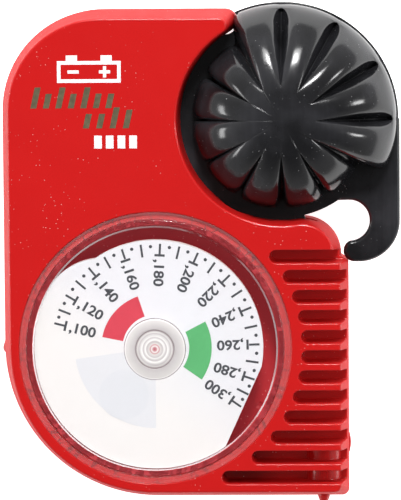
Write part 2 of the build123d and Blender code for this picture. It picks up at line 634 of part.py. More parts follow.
with BuildPart() as air_tube:
    tube_start = on_circle(BULB_X, BULB_Y, AIR_TUBE_START, NECK_ANGLE)
    with BuildSketch(along(*tube_start, PARTING_Z, NECK_ANGLE)):
        Circle(AIR_TUBE_R)
        Circle(AIR_BORE_R, mode=Mode.SUBTRACT)
    extrude(amount=BULB_TO_DIAL - CHAMBER_BORE_R - AIR_TUBE_START)
air_tube.part.label = "air_tube"

# ---- inlet and folding pipe ----

with BuildPart() as inlet_manifold:
    with BuildSketch(Plane.XY.offset(CHAMBER_FLOOR_Z)):
        with Locations((PIVOT_X, PIVOT_Y)):
            Circle(COLUMN_R)
    extrude(amount=COLUMN_TOP_Z - CHAMBER_FLOOR_Z)
    with BuildSketch(Plane.XZ.offset(-PIVOT_Y)):
        with Locations((PIVOT_X, CHANNEL_Z)):
            Circle(CHANNEL_R)
    extrude(amount=PIVOT_Y - BOTTOM_Y - WALL)
    # The bolt's thread, the passage above it, the long channel and the port to the chamber.
    with BuildSketch(Plane.XY.offset(CHAMBER_FLOOR_Z)):
        with Locations((PIVOT_X, PIVOT_Y)):
            Circle(BOLT_R)
    extrude(amount=BOLT_END_Z - CHAMBER_FLOOR_Z, mode=Mode.SUBTRACT)
    with BuildSketch(Plane.XY.offset(BOLT_END_Z)):
        with Locations((PIVOT_X, PIVOT_Y)):
            Circle(INLET_BORE_R)
    extrude(amount=INLET_Z - BOLT_END_Z + INLET_BORE_R, mode=Mode.SUBTRACT)
    with BuildSketch(Plane.XZ.offset(-PIVOT_Y + CHANNEL_R)):
        with Locations((PIVOT_X, CHANNEL_Z)):
            Circle(CHANNEL_BORE_R)
    extrude(amount=PIVOT_Y - BOTTOM_Y, mode=Mode.SUBTRACT)
    with BuildSketch(along(PIVOT_X, PIVOT_Y, INLET_Z, INLET_ANGLE)):
        Circle(INLET_BORE_R)
    extrude(amount=COLUMN_R + 1, mode=Mode.SUBTRACT)
    inlet_socket = on_circle(PIVOT_X, PIVOT_Y, INLET_SOCKET, INLET_ANGLE)
    with BuildSketch(along(*inlet_socket, INLET_Z, INLET_ANGLE)):
        Circle(INLET_R)
    extrude(amount=COLUMN_R, mode=Mode.SUBTRACT)
inlet_manifold.part.label = "inlet_manifold"

with BuildPart() as inlet_tube:
    with BuildSketch(along(*inlet_socket, INLET_Z, INLET_ANGLE)):
        Circle(INLET_R)
        Circle(INLET_BORE_R, mode=Mode.SUBTRACT)
    extrude(amount=PIVOT_TO_DIAL - CHAMBER_BORE_R - INLET_SOCKET)
inlet_tube.part.label = "inlet_tube"

with BuildPart() as channel_plug:
    with BuildSketch(Plane(origin=(PIVOT_X, 0, CHANNEL_Z), x_dir=(1, 0, 0), z_dir=(0, 0, 1))):
        with BuildLine():
            shoulder_y = BOTTOM_Y + WALL
            Polyline(
                (0, shoulder_y + PLUG_DEPTH),
                (CHANNEL_BORE_R, shoulder_y + PLUG_DEPTH),
                (CHANNEL_BORE_R, shoulder_y),
                (PLUG_R, shoulder_y),
                (PLUG_R, BOTTOM_Y),
                (PLUG_TIP_R, BOTTOM_Y - PLUG_OUT),
                (0, BOTTOM_Y - PLUG_OUT),
                close=True,
            )
        make_face()
    revolve(axis=Axis((PIVOT_X, 0, CHANNEL_Z), (0, 1, 0)))
channel_plug.part.label = "channel_plug"

with BuildPart() as pivot_bolt:
    with BuildSketch(Plane.XY.offset(BOLT_HEAD_Z)):
        with Locations((PIVOT_X, PIVOT_Y)):
            Circle(BOLT_HEAD_R)
    extrude(amount=BOLT_HEAD_T)
    chamfer(pivot_bolt.edges().group_by(Axis.Z)[0], 0.3)
    with BuildSketch(Plane.XY.offset(BOLT_HEAD_Z)):
        with Locations((PIVOT_X, PIVOT_Y)):
            Circle(BOLT_R)
    extrude(amount=BOLT_END_Z - BOLT_HEAD_Z)
    # A driver slot in the head, the bore from the thread end and a cross hole at the pipe.
    with BuildSketch(Plane.XY.offset(BOLT_HEAD_Z)):
        with Locations((PIVOT_X, PIVOT_Y)):
            Rectangle(2 * BOLT_HEAD_R + 1, 0.9)
    extrude(amount=0.8, mode=Mode.SUBTRACT)
    with BuildSketch(Plane.XY.offset(PIPE_Z - BOLT_BORE_R)):
        with Locations((PIVOT_X, PIVOT_Y)):
            Circle(BOLT_BORE_R)
    extrude(amount=BOLT_END_Z, mode=Mode.SUBTRACT)
    with BuildSketch(Plane.YZ.offset(PIVOT_X - BOLT_R)):
        with Locations((PIVOT_Y, PIPE_Z)):
            Circle(BOLT_BORE_R / 2)
    extrude(amount=2 * BOLT_R, mode=Mode.SUBTRACT)
pivot_bolt.part.label = "pivot_bolt"

with BuildPart() as pipe_seals:
    for groove_z in SEAL_GROOVES_Z:
        with BuildSketch(Plane.XY.offset(groove_z + FIT_GAP / 2)):
            with Locations((PIVOT_X, PIVOT_Y)):
                Circle(SEAL_GROOVE_R - RUNNING_GAP)
                Circle(BOLT_R, mode=Mode.SUBTRACT)
        extrude(amount=SEAL_GROOVE_T - FIT_GAP)
pipe_seals.part.label = "pipe_seals"

with BuildPart() as pivot_washer:
    with BuildSketch(Plane.XY.offset(PIPE_Z + PIPE_HUB_T / 2)):
        with Locations((PIVOT_X, PIVOT_Y)):
            Circle(WASHER_R)
            Circle(BOLT_R + FIT_GAP, mode=Mode.SUBTRACT)
    extrude(amount=RECESS_Z - PIPE_Z - PIPE_HUB_T / 2)
pivot_washer.part.label = "pivot_washer"

with BuildPart() as suction_pipe:
    # Hub and pipe, with a round end.
    with BuildSketch(Plane.XY.offset(PIPE_Z - PIPE_HUB_T / 2)):
        with Locations((PIVOT_X, PIVOT_Y)):
            Circle(PIPE_HUB_R)
    extrude(amount=PIPE_HUB_T)
    chamfer(suction_pipe.edges().group_by(Axis.Z)[0], HUB_BEVEL)
    with BuildSketch(along(PIVOT_X, PIVOT_Y, PIPE_Z, PIPE_ANGLE)):
        Circle(PIPE_R)
    extrude(amount=PIPE_LENGTH)
    fillet(suction_pipe.edges().filter_by(GeomType.CIRCLE).sort_by(Axis.X)[0], PIPE_TIP_R)
    # The bolt's hole, the sunk place for its head, and the grooves round the bolt.
    with BuildSketch(Plane.XY.offset(0)):
        with Locations((PIVOT_X, PIVOT_Y)):
            Circle(BOLT_R + RUNNING_GAP)
    extrude(amount=RECESS_Z, mode=Mode.SUBTRACT)
    with BuildSketch(Plane.XY):
        with Locations((PIVOT_X, PIVOT_Y)):
            Circle(BOLT_HEAD_R + FIT_GAP)
    extrude(amount=BOLT_HEAD_Z + BOLT_HEAD_T + RUNNING_GAP, mode=Mode.SUBTRACT)
    for groove_z in SEAL_GROOVES_Z:
        with BuildSketch(Plane.XY.offset(groove_z)):
            with Locations((PIVOT_X, PIVOT_Y)):
                Circle(SEAL_GROOVE_R)
        extrude(amount=SEAL_GROOVE_T, mode=Mode.SUBTRACT)
    with BuildSketch(Plane.XY.offset(PIPE_Z - FEED_GROOVE_T / 2)):
        with Locations((PIVOT_X, PIVOT_Y)):
            Circle(FEED_GROOVE_R)
    extrude(amount=FEED_GROOVE_T, mode=Mode.SUBTRACT)
    # The pipe's own bore, open at the tip.
    bore_start = on_circle(PIVOT_X, PIVOT_Y, FEED_GROOVE_R - FIT_GAP, PIPE_ANGLE)
    with BuildSketch(along(*bore_start, PIPE_Z, PIPE_ANGLE)):
        Circle(PIPE_BORE_R)
    extrude(amount=PIPE_LENGTH, mode=Mode.SUBTRACT)
suction_pipe.part.label = "suction_pipe"

# ---- one file for each piece ----

PIECES = [
    front_shell,
    rear_shell,
    case_screws,
    measuring_chamber,
    window_seal,
    dial_window,
    float_dial,
    scale_label,
    ballast_weight,
    pivot_pin,
    suction_bulb,
    bulb_base,
    bulb_clip,
    air_tube,
    inlet_manifold,
    inlet_tube,
    channel_plug,
    pivot_bolt,
    pipe_seals,
    pivot_washer,
    suction_pipe,
]
for piece in PIECES:
    export_step(piece.part, f"parts/{piece.part.label}.step")
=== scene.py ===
"""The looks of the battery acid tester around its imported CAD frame: materials, the fluted bulb, the printed
dial, the decals, a pale floor, soft light and the camera. Lengths are metres, and MM is one millimetre."""

import math

import bmesh
import bpy
from mathutils import Matrix, Vector


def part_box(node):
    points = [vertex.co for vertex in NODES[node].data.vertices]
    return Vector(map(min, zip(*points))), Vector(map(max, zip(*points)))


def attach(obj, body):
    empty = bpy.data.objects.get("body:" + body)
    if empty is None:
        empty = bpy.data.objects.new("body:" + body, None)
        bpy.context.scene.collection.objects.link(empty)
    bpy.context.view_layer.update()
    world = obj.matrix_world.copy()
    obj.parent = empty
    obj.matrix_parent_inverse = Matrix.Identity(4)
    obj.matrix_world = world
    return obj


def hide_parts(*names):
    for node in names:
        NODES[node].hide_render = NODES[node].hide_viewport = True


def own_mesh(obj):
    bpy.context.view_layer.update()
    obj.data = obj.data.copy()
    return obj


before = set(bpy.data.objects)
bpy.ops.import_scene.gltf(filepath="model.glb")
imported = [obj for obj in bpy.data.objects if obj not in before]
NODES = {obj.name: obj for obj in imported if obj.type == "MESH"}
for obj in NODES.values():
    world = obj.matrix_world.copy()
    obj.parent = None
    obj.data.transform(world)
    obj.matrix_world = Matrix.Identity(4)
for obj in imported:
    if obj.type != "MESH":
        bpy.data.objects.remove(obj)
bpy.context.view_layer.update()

MM = 0.001

# ---- places read from the frame ----


def node_middle(node):
    low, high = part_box(node)
    return (low + high) / 2


DIAL = node_middle("pivot_pin")
LABEL_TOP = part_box("scale_label")[1].z
FACE_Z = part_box("front_shell")[1].z
WINDOW_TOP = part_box("dial_window")[1].z
BULB_LOW, BULB_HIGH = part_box("suction_bulb")

# The window's measures, in millimetres.
DRUM_R, FLANGE_R, BORE_R, HUB_R = 32.1, 33.8, 30.5, 7.7
DRUM_TOP, FLANGE_LOW, FLANGE_TOP = 28.5, 24.8, 26.2
PANE_T = 1.2
RIM_ROUND = 0.35
RING_STEPS = (4.9, 4.1, 3.3, 2.5, 1.7, 0.9)

# ---- node and mesh helpers ----


class Paint:
    """A node material with one Principled shader, and short calls for the nodes that feed it."""

    def __init__(self, name):
        self.material = bpy.data.materials.new(name)
        self.material.use_nodes = True
        self.tree = self.material.node_tree
        self.shader = self.tree.nodes["Principled BSDF"]
        self.place = self.tree.nodes.new("ShaderNodeTexCoord").outputs["Object"]

    def node(self, kind, settings=(), **inputs):
        made = self.tree.nodes.new("ShaderNode" + kind)
        for key, value in dict(settings).items():
            setattr(made, key, value)
        for key, value in inputs.items():
            self.feed(made.inputs[key.replace("_", " ")], value)
        return made

    def feed(self, socket, value):
        if isinstance(value, bpy.types.NodeSocket):
            self.tree.links.new(value, socket)
        else:
            socket.default_value = value

    def set(self, **inputs):
        """Sets or feeds sockets of the Principled shader, with underscores for spaces."""
        for key, value in inputs.items():
            self.feed(self.shader.inputs[key.replace("_", " ")], value)

    def noise(self, scale, detail=2.0, stretch=(1, 1, 1), roughness=0.5):
        spread = self.node("Mapping", Vector=self.place, Scale=stretch)
        found = self.node(
            "TexNoise", Vector=spread.outputs[0], Scale=scale, Detail=detail, Roughness=roughness
        )
        return found.outputs["Fac"]

    def specks(self, scale, size):
        """1 on small scattered specks and 0 elsewhere."""
        cells = self.node("TexVoronoi", Vector=self.place, Scale=scale, Randomness=1.0)
        return self.ramp(cells.outputs["Distance"], (size * 0.6, (1, 1, 1, 1)), (size, (0, 0, 0, 1)))

    def ramp(self, value, *stops):
        made = self.node("ValToRGB", Fac=value)
        elements = made.color_ramp.elements
        while len(elements) < len(stops):
            elements.new(0.5)
        for element, (at, colour) in zip(elements, stops):
            element.position = at
            element.color = colour
        return made.outputs["Color"]

    def mix(self, share, first, second):
        made = self.node("Mix", {"data_type": "RGBA"})
        self.feed(made.inputs["Factor"], share)
        self.feed(made.inputs[6], first)
        self.feed(made.inputs[7], second)
        return made.outputs[2]

    def scale(self, value, low, high):
        """The 0 to 1 value stretched to run from low to high."""
        made = self.node("MapRange", Value=value, To_Min=low, To_Max=high)
        return made.outputs["Result"]

    def times(self, first, second):
        made = self.node("Math", {"operation": "MULTIPLY"})
        self.feed(made.inputs[0], first)
        self.feed(made.inputs[1], second)
        return made.outputs[0]

    def steep(self, flat, upright):
        """1 on walls steeper than upright and 0 on faces flatter than flat, by the normal's share of +Z."""
        normal = self.node("SeparateXYZ", Vector=self.node("NewGeometry").outputs["True Normal"])
        share = self.node("MapRange", Value=normal.outputs["Z"], From_Min=flat, From_Max=upright)
        return share.outputs["Result"]

    def bump(self, height, distance, strength=1.0, edge=0.0):
        """A bump from a height, over edges softened to a radius in metres."""
        made = self.node("Bump", Height=height, Strength=strength, Distance=distance)
        if edge:
            soft = self.node("Bevel", {"samples": 6}, Radius=edge)
            self.tree.links.new(soft.outputs[0], made.inputs["Normal"])
        self.set(Normal=made.outputs[0])


def grey(value):
    return (value, value, value, 1)


def new_piece(name, body, material, slot, vertices, faces, smooth=True):
    """A mesh piece that rides on a body."""
    mesh = bpy.data.meshes.new(name)
    mesh.from_pydata(vertices, [], faces)
    mesh.validate()
    bm = bmesh.new()
    bm.from_mesh(mesh)
    bmesh.ops.remove_doubles(bm, verts=bm.verts, dist=1e-6)
    bmesh.ops.recalc_face_normals(bm, faces=bm.faces)
    bm.to_mesh(mesh)
    bm.free()
    for face in mesh.polygons:
        face.use_smooth = smooth
    piece = bpy.data.objects.new(name, mesh)
    bpy.context.scene.collection.objects.link(piece)
    piece.data.materials.append(material)
    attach(piece, body)
    return piece


def dress(node, material):
    """Gives a CAD node a better material."""
    slots = NODES[node].material_slots
    for held in slots:
        held.link = "OBJECT"
        held.material = material


# ---- materials ----


def red_plastic():
    """Red moulded plastic: a glossy front with faint ripple, dust and softened edges, duller walls, and
    painted light in the grip slots.
    """
    p = Paint("red_plastic")
    cloud = p.noise(60, 3)
    base = p.mix(cloud, (0.475, 0.0075, 0.0075, 1), (0.53, 0.0095, 0.009, 1))
    dust = p.times(p.specks(900, 0.13), p.ramp(p.noise(140, 2), (0.50, grey(0)), (0.62, grey(1))))
    p.set(Base_Color=p.mix(p.times(dust, 0.5), base, (0.85, 0.55, 0.52, 1)))
    # The drawn walls are duller than the polished front.
    wall = p.steep(0.55, 0.30)
    rough = p.node("Math", {"operation": "ADD"})
    p.feed(rough.inputs[0], p.scale(p.noise(220, 3), 0.16, 0.26))
    p.feed(rough.inputs[1], p.times(wall, 0.40))
    p.set(Roughness=rough.outputs[0], IOR=1.46, Specular_IOR_Level=p.scale(wall, 0.5, 0.12))
    # Painted light in the grip slots: a faint red emission that lightens the deep parts of the slots beside
    # the ribs.
    spot = p.node("SeparateXYZ", Vector=p.place)
    deep = p.node("MapRange", Value=spot.outputs["Z"], From_Min=0.0245, From_Max=0.019)
    aside = p.node("MapRange", Value=spot.outputs["X"], From_Min=0.013, From_Max=0.019)
    painted_slot_light = p.times(deep.outputs[0], aside.outputs[0])
    p.set(Emission_Color=(0.05, 0.0012, 0.0012, 1), Emission_Strength=painted_slot_light)
    p.bump(p.noise(130, 2), 0.00006, 0.35, edge=0.0004)
    return p.material


def chamber_plastic():
    """Dark red plastic deep behind the window, dusty in patches, with painted light: a faint emission that
    lightens the chamber in place of the light that falls in.
    """
    p = Paint("chamber_plastic")
    base = p.mix(p.noise(90, 3), (0.46, 0.020, 0.026, 1), (0.58, 0.034, 0.040, 1))
    dust = p.times(p.specks(1100, 0.17), p.ramp(p.noise(200, 2), (0.42, grey(0)), (0.55, grey(1))))
    p.set(Base_Color=p.mix(p.times(dust, 0.75), base, (0.85, 0.55, 0.5, 1)))
    # The emission is painted light that lightens the deep chamber.
    p.set(Roughness=p.scale(p.noise(300, 2), 0.3, 0.42), Emission_Color=(0.20, 0.012, 0.020, 1))
    p.set(Emission_Strength=0.45)
    p.bump(p.noise(260, 2), 0.00005, 0.4)
    return p.material


def clear_plastic():
    """Clear pane: it mirrors by its angle and lets the rest through."""
    p = Paint("clear_plastic")
    mirror = p.node("Fresnel", IOR=1.45)
    soft = p.node("Math", {"operation": "MINIMUM"})
    p.feed(soft.inputs[0], mirror.outputs[0])
    p.feed(soft.inputs[1], 0.45)
    p.set(Base_Color=(0.95, 0.96, 0.98, 1), Metallic=1.0, Roughness=0.06, Alpha=soft.outputs[0])
    return p.material


def ring_colours(p, stops):
    """A colour by the distance from the dial's axis, from (millimetres, colour) pairs."""
    flattened = (1, 1, 1e6)
    middle = p.node(
        "Mapping", {"vector_type": "TEXTURE"}, Vector=p.place, Location=DIAL, Scale=flattened
    )
    far = p.node("VectorMath", {"operation": "LENGTH"})
    p.feed(far.inputs[0], middle.outputs[0])
    share = p.node("MapRange", Value=far.outputs["Value"], From_Min=0.0, From_Max=HUB_R * MM)
    return p.ramp(share.outputs["Result"], *((at / HUB_R, colour) for at, colour in stops))


def frosted_plastic():
    """The hub's clear plastic: grey, with its turned rings painted as bands of highlight and shade, and a
    painted red glint in the middle.
    """
    p = Paint("frosted_plastic")
    pale, dull, line = (0.64, 0.61, 0.60, 1), (0.47, 0.44, 0.44, 1), (0.16, 0.11, 0.12, 1)
    pink, bright = (0.55, 0.27, 0.29, 1), (0.84, 0.82, 0.81, 1)
    # Painted highlights and shade: the pale and bright bands are the rings catching light, the dull bands
    # between them painted shade, the red middle a painted glint.
    stops = (
        (0.0, (0.45, 0.10, 0.13, 1)), (0.45, pink), (0.8, bright), (1.1, pink), (1.4, pale),
        (2.0, dull), (2.3, bright), (2.9, dull), (3.2, bright), (3.9, dull),
        (4.3, pale), (4.75, line), (4.95, dull), (7.1, pale), (7.4, bright), (7.62, line),
    )
    p.set(Base_Color=ring_colours(p, stops), Roughness=p.scale(p.noise(500, 2), 0.12, 0.2))
    p.set(Alpha=p.scale(p.noise(300, 2), 0.66, 0.76), IOR=1.45)
    p.bump(p.noise(400, 2), 0.00002, 0.2)
    return p.material


def rim_plastic():
    """The window's flange over the red case: clear plastic that looks pale red."""
    p = Paint("rim_plastic")
    p.set(Base_Color=p.mix(p.noise(200, 2), (0.66, 0.32, 0.33, 1), (0.74, 0.42, 0.43, 1)))
    p.set(Alpha=p.scale(p.noise(60, 2), 0.10, 0.26), Roughness=0.08, Coat_Weight=0.6, Coat_Roughness=0.04)
    p.bump(p.noise(300, 2), 0.00002, 0.2)
    return p.material


def black_rubber():
    """Black moulded vinyl: satin, greyer and brushed with fine dust where it is handled."""
    p = Paint("black_rubber")
    streaks = p.noise(700, 3, stretch=(1, 0.08, 1))
    clouds = p.noise(70, 4)
    worn = p.times(p.ramp(clouds, (0.40, grey(0)), (0.68, grey(1))), p.scale(streaks, 0.3, 1.0))
    base = p.mix(worn, (0.008, 0.008, 0.009, 1), (0.036, 0.036, 0.041, 1))
    dust = p.times(p.specks(1000, 0.12), p.ramp(p.noise(170, 2), (0.52, grey(0)), (0.64, grey(1))))
    p.set(Base_Color=p.mix(p.times(dust, 0.5), base, (0.6, 0.6, 0.6, 1)))
    p.set(Roughness=p.scale(streaks, 0.09, 0.22), IOR=1.48)
    p.set(Specular_IOR_Level=p.scale(p.steep(0.62, 0.25), 0.5, 0.12))
    p.bump(p.noise(500, 3, stretch=(1, 0.15, 1)), 0.00003, 0.3, edge=0.0004)
    return p.material


def white_plastic():
    """The float's off-white plastic."""
    p = Paint("white_plastic")
    p.set(Base_Color=p.mix(p.noise(120, 3), (0.86, 0.84, 0.80, 1), (0.90, 0.885, 0.86, 1)))
    p.set(Roughness=p.scale(p.noise(300, 2), 0.40, 0.52))
    p.bump(p.noise(400, 2), 0.00002, 0.3)
    return p.material


def printed(name, light, dark, roughness=0.5):
    """Ink or paper in a colour that runs a little uneven."""
    p = Paint(name)
    p.set(Base_Color=p.mix(p.noise(900, 3), dark, light))
    p.set(Roughness=p.scale(p.noise(500, 2), roughness - 0.05, roughness + 0.08))
    p.bump(p.noise(2500, 2), 0.00001, 0.2)
    return p.material


def metal(name, light, dark, roughness):
    p = Paint(name)
    p.set(Base_Color=p.mix(p.noise(400, 4, stretch=(1, 1, 6)), dark, light), Metallic=1.0)
    p.set(Roughness=p.scale(p.noise(900, 3), roughness - 0.06, roughness + 0.1))
    p.bump(p.noise(1500, 2), 0.00001, 0.3)
    return p.material


def seal_rubber():
    """The ring seal under the window and the seals of the pipe: dark red rubber."""
    p = Paint("seal_rubber")
    p.set(Base_Color=p.mix(p.noise(500, 2), (0.34, 0.022, 0.030, 1), (0.44, 0.032, 0.042, 1)))
    p.set(Roughness=p.scale(p.noise(700, 2), 0.4, 0.55))
    p.bump(p.noise(900, 2), 0.00002, 0.3)
    return p.material


def label_paper():
    """The scale's white label, a little bluish over the scale and warmer over the rest."""
    p = Paint("label_paper")
    spread = p.node("Mapping", {"vector_type": "TEXTURE"}, Vector=p.place, Location=DIAL)
    across = p.node("VectorMath", {"operation": "DOT_PRODUCT"})
    p.feed(across.inputs[0], spread.outputs[0])
    p.feed(across.inputs[1], (0.6, 0.8, 0))
    side = p.node("MapRange", Value=across.outputs["Value"], From_Min=-0.012, From_Max=0.004)
    base = p.mix(side.outputs["Result"], (0.79, 0.765, 0.75, 1), (0.745, 0.74, 0.77, 1))
    p.set(Base_Color=p.mix(p.times(p.noise(300, 3), 0.06), base, grey(0.72)))
    p.set(Roughness=p.scale(p.noise(300, 2), 0.42, 0.52))
    p.bump(p.noise(400, 2), 0.00002, 0.2)
    return p.material


# ---- the case and the small CAD parts: better materials ----

RED, CHAMBER, RUBBER = red_plastic(), chamber_plastic(), black_rubber()
STEEL = metal("bright_steel", grey(0.62), grey(0.42), 0.28)
BRASS = metal("brass", (0.72, 0.55, 0.26, 1), (0.55, 0.40, 0.17, 1), 0.30)
LEAD = metal("ballast_metal", grey(0.42), grey(0.25), 0.45)
WHITE, SEAL = white_plastic(), seal_rubber()
CLEAR, FROSTED, RIM = clear_plastic(), frosted_plastic(), rim_plastic()
NATURAL = printed("natural_plastic", (0.80, 0.78, 0.72, 1), (0.74, 0.72, 0.66, 1))
MATERIALS = {
    RED: ("front_shell", "rear_shell", "inlet_manifold", "channel_plug", "suction_pipe"),
    CHAMBER: ("measuring_chamber", "air_tube", "inlet_tube"),
    RUBBER: ("bulb_base",),
    STEEL: ("case_screws", "bulb_clip", "pivot_pin"),
    BRASS: ("pivot_bolt",),
    LEAD: ("ballast_weight",),
    WHITE: ("float_dial",),
    SEAL: ("window_seal", "pipe_seals"),
    NATURAL: ("rear_bearing", "front_bearing", "pivot_washer"),
    label_paper(): ("scale_label",),
}
for material, nodes in MATERIALS.items():
    for node in nodes:
        dress(node, material)

# ---- flat printed shapes ----


def turned(angle, radius, middle=DIAL):
    """The point at an angle in degrees and a radius in millimetres round a middle."""
    a = math.radians(angle)
    return (middle.x + radius * MM * math.cos(a), middle.y + radius * MM * math.sin(a))


def arc(first, last, radius, steps=24):
    return [turned(first + (last - first) * i / steps, radius) for i in range(steps + 1)]


def slab(outlines, low, high):
    """Closed flat prisms between two heights, one for each outline, as vertices and faces."""
    vertices, faces = [], []
    for outline in outlines:
        start, count = len(vertices), len(outline)
        vertices += [(x, y, low) for x, y in outline] + [(x, y, high) for x, y in outline]
        faces.append([start + i for i in reversed(range(count))])
        faces.append([start + count + i for i in range(count)])
        for i in range(count):
            j = (i + 1) % count
            faces.append((start + i, start + j, start + count + j, start + count + i))
    return vertices, faces


def spoke(angle, inner, outer, width):
    """A straight bar along a radius of the dial."""
    half = width / 2
    out = Vector((math.cos(math.radians(angle)), math.sin(math.radians(angle))))
    side = Vector((-out.y, out.x))
    corners = ((inner, -half), (outer, -half), (outer, half), (inner, half))
    middle = Vector(DIAL[:2])
    return [tuple(middle + (out * along + side * across) * MM) for along, across in corners]


def dot(x, y, radius, steps=16):
    return [
        (x + radius * math.cos(math.tau * i / steps), y + radius * math.sin(math.tau * i / steps))
        for i in range(steps)
    ]


def sector(first, last, inner, outer):
    return arc(first, last, outer) + arc(last, first, inner)


# ---- the dial's print ----

PRINT_T = 0.03 * MM
STEPS_EACH_WAY = 10
DIGIT_HEIGHT = 2.6
DIGIT_STRETCH = 1.14
NUMBER_INNER_R = 15.3
INK = printed("dial_ink", (0.060, 0.062, 0.072, 1), (0.045, 0.047, 0.055, 1))


def tick_angle(step):
    """Where the scale's step stands: nearly even, wider in the middle than towards the ends."""
    return 65.6 - 10.75 * step + 0.69e-4 * step**5


def number_shape(text):
    """A number as a flat mesh whose right end is at the origin, in millimetres."""
    curve = bpy.data.curves.new("number", "FONT")
    curve.body = text
    curve.align_x = "RIGHT"
    curve.resolution_u = 4
    curve.extrude = 0.01
    curve.offset = 0.026
    holder = bpy.data.objects.new("number", curve)
    mesh = bpy.data.meshes.new_from_object(holder)
    bpy.data.objects.remove(holder)
    top = max(v.co.y for v in mesh.vertices)
    low = min(v.co.y for v in mesh.vertices if v.co.x > -0.5)
    right = max(v.co.x for v in mesh.vertices)
    scale = DIGIT_HEIGHT / (top - low)
    for v in mesh.vertices:
        v.co = ((v.co.x - right) * scale * DIGIT_STRETCH, (v.co.y - (top + low) / 2) * scale, v.co.z)
    return mesh


def dial_print():
    """Ticks, dots between them and a number at every second tick."""
    outlines = []
    for step in range(-STEPS_EACH_WAY, STEPS_EACH_WAY + 1):
        inner = 23.3 if step % 2 == 0 else 22.7
        outlines.append(spoke(tick_angle(step), inner, 25.9, 0.52))
        if step < STEPS_EACH_WAY:
            between = (tick_angle(step) + tick_angle(step + 1)) / 2
            outlines.append(dot(*turned(between, 25.2), 0.42 * MM))
    vertices, faces = slab(outlines, LABEL_TOP, LABEL_TOP + PRINT_T)
    for index, step in enumerate(range(-STEPS_EACH_WAY, STEPS_EACH_WAY + 1, 2)):
        mesh = number_shape(f"1,{100 + 20 * index}")
        angle = math.radians(tick_angle(step))
        out = Vector((math.cos(angle), math.sin(angle)))
        up = Vector((out.y, -out.x))
        start = len(vertices)
        for v in mesh.vertices:
            flat = Vector(DIAL[:2]) + (out * (NUMBER_INNER_R - v.co.x) + up * v.co.y) * MM
            vertices.append((flat.x, flat.y, LABEL_TOP + PRINT_T * (v.co.z > 0)))
        faces += [[start + i for i in face.vertices] for face in mesh.polygons]
    new_piece("dial_numbers", "float", INK, "label_print", vertices, faces, smooth=False)


def printed_shape(name, outlines, material, height=PRINT_T, body="float", slot="label_print", base=None):
    low = LABEL_TOP if base is None else base
    vertices, faces = slab(outlines, low, low + height)
    return new_piece(name, body, material, slot, vertices, faces, smooth=False)


RED_INK = printed("red_ink", (0.64, 0.046, 0.076, 1), (0.57, 0.040, 0.066, 1))
GREEN_INK = printed("green_ink", (0.100, 0.43, 0.155, 1), (0.085, 0.38, 0.135, 1))
# A painted shadow of the float's pocket, printed on the label in a greyer tint.
POCKET_PAINTED_SHADOW = printed("pocket_painted_shadow", (0.71, 0.71, 0.735, 1), (0.68, 0.68, 0.705, 1))
# A painted shadow of the ballast weight, printed on the label in a greyer tint.
BALLAST_PAINTED_SHADOW = printed("ballast_painted_shadow", (0.685, 0.69, 0.72, 1), (0.655, 0.66, 0.69, 1))

dial_print()
printed_shape("red_sector", [sector(108.7, 168.5, 8.2, 13.5)], RED_INK)
printed_shape("green_sector", [sector(-35.0, 27.5, 8.4, 14.0)], GREEN_INK)
# The pocket's painted shadow on the label.
printed_shape("pocket_painted_shadow", [sector(188, 270, 7.9, 20.1)], POCKET_PAINTED_SHADOW)
BALLAST = node_middle("ballast_weight")
# The ballast weight's painted shadow on the label.
printed_shape("ballast_painted_shadow", [dot(BALLAST.x, BALLAST.y, 6.2 * MM, 48)], BALLAST_PAINTED_SHADOW, PRINT_T * 1.5)

# ---- the dial window ----


def lathe(name, profile, middle, body, material, slot, segments=192):
    """A closed turned piece: the profile is a loop of (radius, height) pairs."""
    vertices, faces, rings = [], [], []
    for radius, height in profile:
        if radius == 0:
            rings.append([len(vertices)] * segments)
            vertices.append((middle.x, middle.y, height))
            continue
        rings.append([len(vertices) + i for i in range(segments)])
        for i in range(segments):
            a = math.tau * i / segments
            vertices.append((middle.x + radius * math.cos(a), middle.y + radius * math.sin(a), height))
    for first, second in zip(rings, rings[1:] + rings[:1]):
        for i in range(segments):
            j = (i + 1) % segments
            corners = []
            for corner in (first[i], first[j], second[j], second[i]):
                if corner not in corners:
                    corners.append(corner)
            if len(corners) > 2:
                faces.append(corners)
    piece = new_piece(name, body, material, slot, vertices, faces)
    piece.data.set_sharp_from_angle(angle=math.radians(35))
    return piece


def in_metres(profile):
    return [(radius * MM, height * MM) for radius, height in profile]


def window_profile():
    """A drum with a rounded rim, a flat pane and a bore."""
    edge_r, edge_z = DRUM_R - RIM_ROUND, DRUM_TOP - RIM_ROUND
    outside = [(0, DRUM_TOP), (edge_r, DRUM_TOP)]
    outside += [
        (edge_r + RIM_ROUND * math.sin(a), edge_z + RIM_ROUND * math.cos(a))
        for a in (math.radians(15 * i) for i in range(1, 7))
    ]
    inside = [(BORE_R, FLANGE_LOW), (BORE_R, DRUM_TOP - PANE_T - 0.4), (BORE_R - 0.4, DRUM_TOP - PANE_T)]
    return in_metres(outside + [(DRUM_R, FLANGE_LOW)] + inside + [(0, DRUM_TOP - PANE_T)])


def flange_profile():
    """The flange round the drum: a flat ring with a fine groove near its edge."""
    top = [(DRUM_R + 0.02, FLANGE_TOP + 0.3), (DRUM_R + 0.15, FLANGE_TOP + 0.08), (DRUM_R + 0.4, FLANGE_TOP)]
    top += [(FLANGE_R - 0.9, FLANGE_TOP), (FLANGE_R - 0.75, FLANGE_TOP - 0.25), (FLANGE_R - 0.6, FLANGE_TOP)]
    top += [(FLANGE_R - 0.2, FLANGE_TOP - 0.02), (FLANGE_R, FLANGE_TOP - 0.25), (FLANGE_R, FLANGE_LOW)]
    return in_metres(top + [(DRUM_R + 0.02, FLANGE_LOW)])


